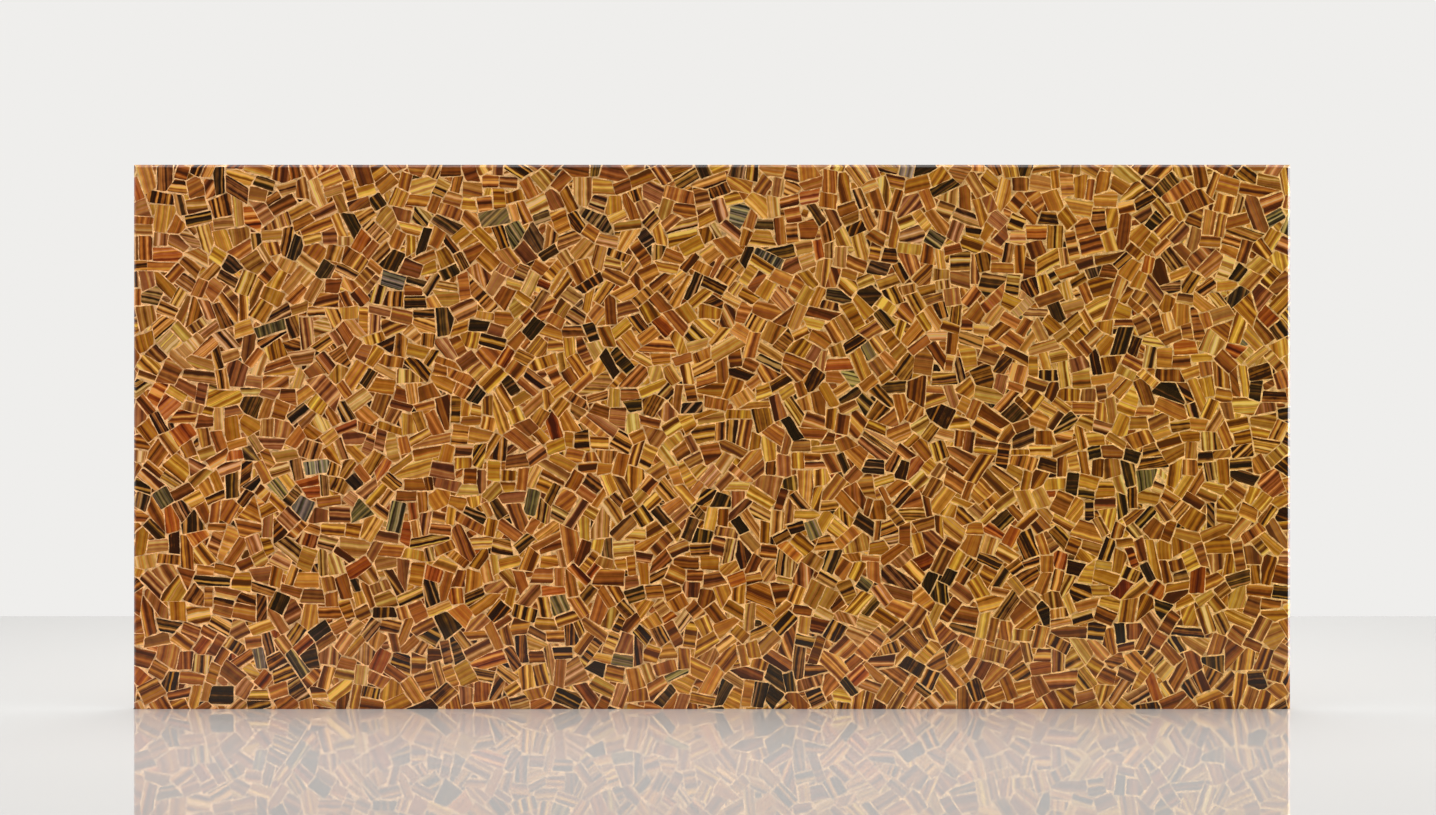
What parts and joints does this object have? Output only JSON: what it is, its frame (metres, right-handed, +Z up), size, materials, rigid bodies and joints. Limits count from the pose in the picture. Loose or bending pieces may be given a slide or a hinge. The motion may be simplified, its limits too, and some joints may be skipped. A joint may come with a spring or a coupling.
{
  "type": "tigers eye composite slab",
  "caption": "Polished rectangular slab of banded golden-brown tiger's eye pieces cast in pale resin, standing on its long sawn edge.",
  "frame": {"origin": "middle of the sawn long edge that the slab stands on", "axes": "+X along the length, polished face towards -Y, +Z up"},
  "size_m": [3.05, 0.02, 1.435],
  "materials": {
    "tigers_eye": "polished, silky bands",
    "resin": "polished, clouded with stone dust"
  },
  "bodies": {
    "root": {"slab": "tigers_eye"}
  },
  "joints": []
}
